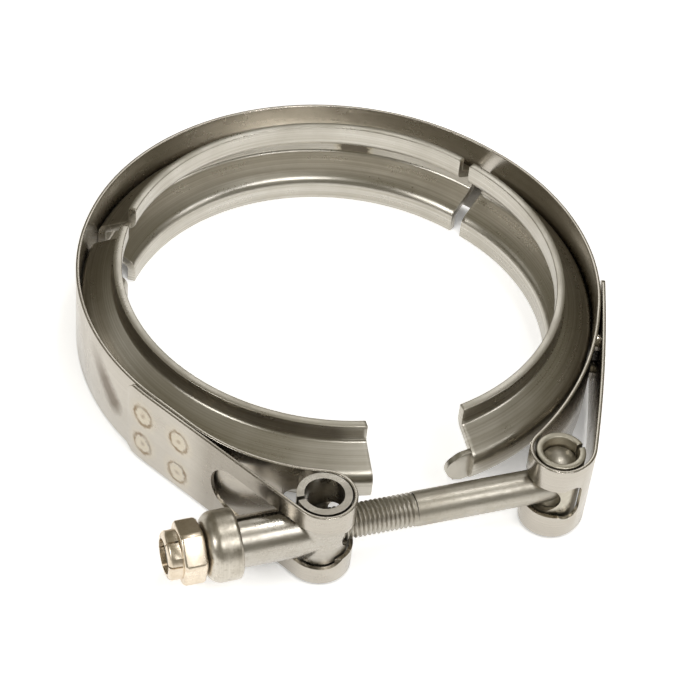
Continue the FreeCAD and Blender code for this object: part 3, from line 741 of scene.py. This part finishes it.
class Graph:
    """Small helper for node materials."""

    def __init__(self, name):
        self.mat = bpy.data.materials.new(name)
        self.mat.use_nodes = True
        self.nt = self.mat.node_tree
        self.bsdf = self.nt.nodes["Principled BSDF"]

    def node(self, kind, **values):
        n = self.nt.nodes.new("ShaderNode" + kind)
        for k, v in values.items():
            setattr(n, k, v)
        return n

    def link(self, a, b):
        self.nt.links.new(a, b)

    def value(self, socket, v):
        if isinstance(v, bpy.types.NodeSocket):
            self.link(v, socket)
        else:
            socket.default_value = v

    def math(self, op, a, b=0.0):
        n = self.node("Math", operation=op)
        self.value(n.inputs[0], a)
        self.value(n.inputs[1], b)
        return n.outputs[0]

    def noise(self, vector, scale, detail=3.0, rough=0.5, stretch=(1, 1, 1)):
        m = self.node("Mapping")
        m.inputs["Scale"].default_value = stretch
        self.link(vector, m.inputs["Vector"])
        n = self.node("TexNoise")
        self.link(m.outputs[0], n.inputs["Vector"])
        n.inputs["Scale"].default_value = scale
        n.inputs["Detail"].default_value = detail
        n.inputs["Roughness"].default_value = rough
        return n.outputs["Fac"]

    def span(self, v, a, b, lo, hi):
        """v from a to b becomes lo to hi, and stays between them."""
        n = self.node("MapRange")
        n.clamp = True
        self.link(v, n.inputs["Value"])
        for k, x in zip(("From Min", "From Max", "To Min", "To Max"), (a, b, lo, hi)):
            n.inputs[k].default_value = x
        return n.outputs[0]

    def mix(self, factor, a, b):
        n = self.node("Mix", data_type="RGBA")
        self.value(n.inputs["Factor"], factor)
        for key, v in ((6, a), (7, b)):
            if isinstance(v, bpy.types.NodeSocket):
                self.link(v, n.inputs[key])
            else:
                n.inputs[key].default_value = (*v, 1.0)
        return n.outputs[2]

    def bump(self, height, strength, distance, normal=None):
        n = self.node("Bump")
        n.inputs["Strength"].default_value = strength
        n.inputs["Distance"].default_value = distance
        self.link(height, n.inputs["Height"])
        if normal is not None:
            self.link(normal, n.inputs["Normal"])
        return n.outputs[0]


def steel(name, base, dark, rough, coords="uv", along=0.02, across=5.0, streak=0.25, dirt=0.5, grain=0.5,
          welds=None, speck=0.15, wave=0.2, mottle=0.6, hair=0.1):
    """Rolled steel. Streaks run along u of the length map, or along the bolt line for object coordinates.

    streak, hair, dirt and speck say how much dark tone the lines, hairs, stains and pits bring. grain and wave
    are the relief of the lines and of the stains, and mottle is how uneven the roughness is.
    """
    g = Graph(name)
    g.bsdf.inputs["Metallic"].default_value = 1.0
    m = g.node("Mapping")
    m.inputs["Scale"].default_value = (1.0 / MM, 1.0 / MM, 1.0 / MM)
    g.link(g.node("TexCoord").outputs["Object"], m.inputs["Vector"])
    vec = obj = m.outputs[0]
    stretch = (along, across, across)
    if coords == "uv":
        vec = g.node("UVMap", uv_map="length").outputs[0]
        stretch = (along, across, 1)
    lines = g.noise(vec, 1.0, detail=2.0, rough=0.55, stretch=stretch)
    coarse = g.noise(vec, 1.0, detail=2.0, rough=0.5, stretch=tuple(s * 0.18 for s in stretch))
    hairs = g.noise(vec, 1.0, detail=3.0, rough=0.6,
                    stretch=(stretch[0] * 4.0, stretch[1] * 1.9, stretch[2] * 1.9))
    blot = g.noise(obj, 0.09, detail=4.0, rough=0.55)
    fine = g.noise(obj, 1.6, detail=1.0, rough=0.5)
    pits = g.noise(obj, 1.3, detail=2.0, rough=0.6)
    stain = g.span(blot, 0.45, 0.75, 0.0, 1.0)
    tone = g.mix(g.math("MULTIPLY", g.span(lines, 0.3, 0.75, 0.0, 1.0), streak), base, dark)
    tone = g.mix(g.math("MULTIPLY", g.span(hairs, 0.45, 0.68, 0.0, 1.0), hair), tone, dark)
    tone = g.mix(g.math("MULTIPLY", stain, dirt), tone, dark)
    tone = g.mix(g.math("MULTIPLY", g.span(pits, 0.52, 0.72, 0.0, 1.0), speck), tone, dark)
    r = g.math("ADD", g.span(coarse, 0.3, 0.7, -0.05 * mottle, 0.07 * mottle), rough)
    r = g.math("ADD", r, g.span(fine, 0.3, 0.7, -0.03 * mottle, 0.04 * mottle))
    r = g.math("ADD", r, g.math("MULTIPLY", stain, 0.10))
    normal = g.bump(lines, grain, 0.00003)
    normal = g.bump(blot, wave, 0.0003, normal)
    if welds:
        tone, r, normal = welds(g, vec, tone, r, normal)
    g.link(tone, g.bsdf.inputs["Base Color"])
    g.link(r, g.bsdf.inputs["Roughness"])
    g.link(normal, g.bsdf.inputs["Normal"])
    return g.mat


def weld_marks(spots, smears, reflected_shade):
    """Spot welds at (u, z), each a dished middle in a brown ring and a faint halo, and longer brown smears.

    A smear is (start, end, width), and the last argument, (u from, u to, amount), is a stretch of the strap
    darkened with a painted reflection of the shaded floor beside the leaf.
    """
    radius = WELD_MARK_R

    def apply(g, vec, tone, r, normal):
        sep = g.node("SeparateXYZ")
        g.link(vec, sep.inputs[0])
        u, z = sep.outputs[0], sep.outputs[1]
        wobble = g.span(g.noise(vec, 0.7, detail=2.0), 0.3, 0.7, -0.3, 0.3)
        uneven = g.span(g.noise(vec, 0.35, detail=1.0), 0.38, 0.62, 0.5, 1.0)

        def length(a, b):
            return g.math("SQRT", g.math("ADD", g.math("MULTIPLY", a, a), g.math("MULTIPLY", b, b)))

        nearest = None
        for u0, z0 in spots:
            d = length(g.math("SUBTRACT", u, u0), g.math("SUBTRACT", z, z0))
            nearest = d if nearest is None else g.math("MINIMUM", nearest, d)
        d = g.math("ADD", nearest, wobble)
        ring = g.math("MULTIPLY", g.span(d, radius - 0.75, radius - 0.25, 0.0, 1.0),
                      g.span(d, radius, radius + 0.6, 1.0, 0.0))
        ring = g.math("MULTIPLY", ring, uneven)
        halo = g.span(d, radius * 0.5, radius + 2.2, 1.0, 0.0)
        core = g.span(d, 0.35, 1.0, 1.0, 0.0)
        dark = None
        for (u1, z1), (u2, z2), wide in smears:
            du, dz = u2 - u1, z2 - z1
            long = math.hypot(du, dz)
            a, b = g.math("SUBTRACT", u, u1), g.math("SUBTRACT", z, z1)
            t = g.math("ADD", g.math("MULTIPLY", a, du / long), g.math("MULTIPLY", b, dz / long))
            across = g.math("ADD", g.math("MULTIPLY", a, -dz / long), g.math("MULTIPLY", b, du / long))
            over = g.math("SUBTRACT", t, g.math("MINIMUM", g.math("MAXIMUM", t, 0.0), long))
            d2 = g.math("ADD", length(over, across), wobble)
            one = g.math("MULTIPLY", g.span(d2, wide * 0.3, wide, 1.0, 0.0),
                         g.span(t, -1.0, long * 0.5, 0.3, 1.0))
            dark = one if dark is None else g.math("MAXIMUM", dark, one)
        u_from, u_to, amount = reflected_shade
        # painted reflection: the leaf darkens between u_from and u_to as if it mirrored the clamp's shaded
        # floor
        reflected_shade_mask = g.math("MULTIPLY", g.span(u, u_from, u_from + 6.0, 0.0, 1.0),
                      g.span(u, u_to - 8.0, u_to, 1.0, 0.0))
        tone = g.mix(g.math("MULTIPLY", reflected_shade_mask, amount), tone, (0.24, 0.215, 0.18))
        tone = g.mix(g.math("MULTIPLY", halo, 0.35), tone, (0.66, 0.57, 0.40))
        tone = g.mix(g.math("MULTIPLY", ring, 0.9), tone, (0.22, 0.155, 0.09))
        tone = g.mix(g.math("MULTIPLY", core, 0.6), tone, (0.28, 0.22, 0.16))
        tone = g.mix(g.math("MULTIPLY", dark, 0.95), tone, (0.175, 0.14, 0.105))
        r = g.math("ADD", r, g.math("MULTIPLY", g.math("MAXIMUM", ring, dark), 0.12))
        dish = g.span(d, radius - 0.9, radius + 0.1, 0.0, 1.0)
        return tone, r, g.bump(dish, 0.6, 0.0003, normal)

    return apply


# places on the strap: u from the tip of the left leaf, z from the floor
spots = [(LEAF_TAIL - 1.6, MID + 3.7), (LEAF_TAIL - 1.6, MID - 5.2),
         (LEAF_TAIL + 9.7, MID + 4.0), (LEAF_TAIL + 9.6, MID - 6.0)]
right_tip = left_length + right_length
spots += [(right_tip - 6.8, MID + 4.5), (right_tip - 6.6, MID - 4.6),
          (right_tip - 16.8, MID + 4.3), (right_tip - 16.9, MID - 4.7)]
ring_from = walk(left_path)[-1][3]


def along_ring(degrees):
    """u of a place on the ring, from its angle about the ring's axis."""
    return ring_from + STRAP_R * math.radians(left_normal + 360.0 - degrees)


smears = [((along_ring(189.5), 16.8), (along_ring(197.6), 9.8), 4.2),
          ((along_ring(70.0), 13.4), (along_ring(65.0), 10.4), 2.4)]


def web_mark(at, half, v_mid, v_half):
    """Burnt mark of the weld that holds the web to the strap."""

    def apply(g, vec, tone, r, normal):
        sep = g.node("SeparateXYZ")
        g.link(vec, sep.inputs[0])
        wobble = g.span(g.noise(vec, 0.9, detail=2.0), 0.3, 0.7, -0.5, 0.5)
        du = g.math("ADD", g.math("ABSOLUTE", g.math("SUBTRACT", sep.outputs[0], at)), wobble)
        dv = g.math("ABSOLUTE", g.math("SUBTRACT", sep.outputs[1], v_mid))
        inside = g.math("MULTIPLY", g.span(du, half - 0.5, half + 0.5, 1.0, 0.0),
                        g.span(dv, v_half - 0.5, v_half + 0.7, 1.0, 0.0))
        edge = g.math("MULTIPLY", g.span(du, half, half + 1.6, 1.0, 0.0),
                      g.span(dv, v_half, v_half + 1.2, 1.0, 0.0))
        tone = g.mix(g.math("MULTIPLY", edge, 0.5), tone, (0.52, 0.45, 0.30))
        tone = g.mix(g.math("MULTIPLY", inside, 0.9), tone, (0.13, 0.11, 0.085))
        return tone, g.math("ADD", r, g.math("MULTIPLY", inside, 0.15)), normal

    return apply


# stretch of the left leaf darkened with a painted reflection of the shaded floor beside it
REFLECTED_SHADE = (LEAF_TAIL + 13.0, LEAF_TAIL + 46.0, 0.6)
WEB_MARK_AT = 67.3                      # degrees about the ring
SECTION_LENGTH = max(p[2] for p in rail_outline())
strap_steel = steel("strap_steel", (0.515, 0.482, 0.43), (0.34, 0.305, 0.25), 0.22, along=0.012, across=2.5,
                    streak=0.25, dirt=0.22, grain=0.10, welds=weld_marks(spots, smears, REFLECTED_SHADE),
                    speck=0.06, wave=0.04, mottle=0.25)
rail_steel = steel("retainer_steel", (0.64, 0.615, 0.565), (0.34, 0.31, 0.245), 0.28, along=0.006, across=2.2,
                   streak=0.7, dirt=0.32, grain=0.06, speck=0.05, wave=0.02, mottle=0.4, hair=0.4,
                   welds=web_mark(math.radians(WEB_MARK_AT) * RAIL_UV_R, 3.7, SECTION_LENGTH / 2, 2.2))
trunnion_steel = steel("trunnion_steel", (0.515, 0.49, 0.445), (0.34, 0.305, 0.25), 0.26, coords="object",
                       along=0.12, across=1.2, streak=0.3, dirt=0.5, grain=0.15, speck=0.35, wave=0.18,
                       mottle=1.0)
ferrule_steel = steel("ferrule_steel", (0.66, 0.62, 0.55), (0.30, 0.265, 0.205), 0.33, along=2.0, across=0.03,
                      streak=0.35, dirt=0.9, grain=0.2, speck=0.45, wave=0.3, mottle=1.2, hair=0.15)
bolt_steel = steel("bolt_steel", (0.49, 0.465, 0.415), (0.32, 0.285, 0.225), 0.36, coords="object", along=0.15,
                   across=1.6, streak=0.35, dirt=0.5, grain=0.4, speck=0.4, wave=0.25, mottle=1.0, hair=0.2)
sleeve_steel = steel("sleeve_steel", (0.56, 0.53, 0.45), (0.35, 0.31, 0.25), 0.30, coords="object", along=1.0,
                     across=1.0, streak=0.35, dirt=0.4, grain=0.2, wave=0.15)
nut_steel = steel("nut_plate", (0.84, 0.75, 0.62), (0.52, 0.41, 0.29), 0.28, coords="object", along=1.0,
                  across=1.0, streak=0.3, dirt=0.5, grain=0.2, speck=0.3, wave=0.15)

for ob, mat in ((strap_left, strap_steel), (strap_right, strap_steel), (rear_rail, rail_steel),
                (left_rail, rail_steel), (right_rail, rail_steel), (bolt, bolt_steel), (roll, sleeve_steel),
                (cap, ferrule_steel), (nut, nut_steel)):
    ob.data.materials.clear()
    ob.data.materials.append(mat)

# the trunnion is shown as the CAD made it, and the other nodes carry their steel too
for node, mat in (("trunnion", trunnion_steel), ("strap", strap_steel), ("retainer_rear", rail_steel),
                  ("retainer_left", rail_steel), ("retainer_right", rail_steel), ("tee_bolt", bolt_steel),
                  ("sleeve", sleeve_steel), ("ferrule", ferrule_steel), ("lock_nut", nut_steel)):
    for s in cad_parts[node].material_slots:
        s.material = mat


# ---- floor, light and camera ----

FLOOR_HALF = 6.0
FLOOR_GLOW = 0.62
SHADE_REACH = 0.012
floor_mesh = bpy.data.meshes.new("floor")
floor_mesh.from_pydata([(x * FLOOR_HALF, y * FLOOR_HALF, 0) for x, y in ((-1, -1), (1, -1), (1, 1), (-1, 1))],
                       [], [(0, 1, 2, 3)])
floor = bpy.data.objects.new("floor", floor_mesh)
bpy.context.scene.collection.objects.link(floor)
g = Graph("pale_floor")
g.bsdf.inputs["Base Color"].default_value = (0.93, 0.93, 0.93, 1)
g.bsdf.inputs["Roughness"].default_value = 0.9
g.bsdf.inputs["Specular IOR Level"].default_value = 0.1
g.bsdf.inputs["Emission Color"].default_value = (1, 1, 1, 1)
# The floor lights itself, except deep under the clamp and in its gaps.
ao = g.node("AmbientOcclusion")
ao.samples = 8
ao.inputs["Distance"].default_value = SHADE_REACH
g.link(g.span(ao.outputs["AO"], 0.12, 0.40, 0.0, FLOOR_GLOW), g.bsdf.inputs["Emission Strength"])
floor.data.materials.append(g.mat)

world = bpy.data.worlds.new("studio")
world.use_nodes = True
wt = world.node_tree
sep = wt.nodes.new("ShaderNodeSeparateXYZ")
wt.links.new(wt.nodes.new("ShaderNodeTexCoord").outputs["Generated"], sep.inputs[0])
ramp = wt.nodes.new("ShaderNodeValToRGB")
wt.links.new(sep.outputs["Z"], ramp.inputs[0])
stops = ((0.0, 0.24), (0.2, 0.13), (0.45, 0.17), (0.8, 0.20), (1.0, 0.26))
while len(ramp.color_ramp.elements) < len(stops):
    ramp.color_ramp.elements.new(0.5)
for el, (at, v) in zip(ramp.color_ramp.elements, stops):
    el.position, el.color = at, (v, v * 0.91, v * 0.66, 1.0)
wt.links.new(ramp.outputs[0], wt.nodes["Background"].inputs["Color"])
bpy.context.scene.world = world


def softbox(name, at, size, watts):
    """Rectangular light that looks at the middle of the ring."""
    light = bpy.data.lights.new(name, "AREA")
    light.shape, light.size, light.size_y = "RECTANGLE", size[0], size[1]
    light.energy = watts
    ob = bpy.data.objects.new(name, light)
    ob.location = at
    ob.rotation_mode = "QUATERNION"
    ob.rotation_quaternion = (-Vector(at)).to_track_quat("-Z", "Y")
    bpy.context.scene.collection.objects.link(ob)


softbox("key", (0.19, -0.78, 0.97), (0.60, 0.36), 3.4)
softbox("top", (0.26, -0.03, 1.17), (0.38, 0.48), 0.80)
softbox("small", (0.228, 0.155, 1.167), (0.10, 0.10), 1.35)
softbox("left", (-1.05, -0.35, 0.75), (0.35, 0.50), 3.4)
softbox("right", (1.0, -0.55, 0.70), (0.35, 0.50), 1.4)
softbox("back", (0.42, 1.0, 1.05), (0.5, 0.40), 1.0)
softbox("rear", (-0.94, 0.79, 0.86), (0.60, 0.50), 0.35)

# the photo's camera, worked out from the ring's edges
CAMERA_AT = (-147.06, -369.34, 380.74)
CAMERA_AZ, CAMERA_EL, CAMERA_ROLL = -22.4548, 44.144, 6.561
CAMERA_LENS = 114.94
camera = bpy.data.cameras.new("camera")
camera.sensor_width, camera.lens = 36.0, CAMERA_LENS
camera.clip_start, camera.clip_end = 0.01, 20.0
cam = bpy.data.objects.new("camera", camera)
a, e, r = (math.radians(v) for v in (CAMERA_AZ, CAMERA_EL, CAMERA_ROLL))
back = Vector((math.sin(a) * math.cos(e), -math.cos(a) * math.cos(e), math.sin(e)))
right = Vector((0, 0, 1)).cross(back).normalized()
up = back.cross(right)
right, up = right * math.cos(r) + up * math.sin(r), up * math.cos(r) - right * math.sin(r)
cam.matrix_world = Matrix.Translation([c * MM for c in CAMERA_AT]) @ Matrix(
    (right, up, back)).transposed().to_4x4()
bpy.context.scene.collection.objects.link(cam)
bpy.context.scene.camera = cam
bpy.context.scene.view_settings.view_transform = "Standard"
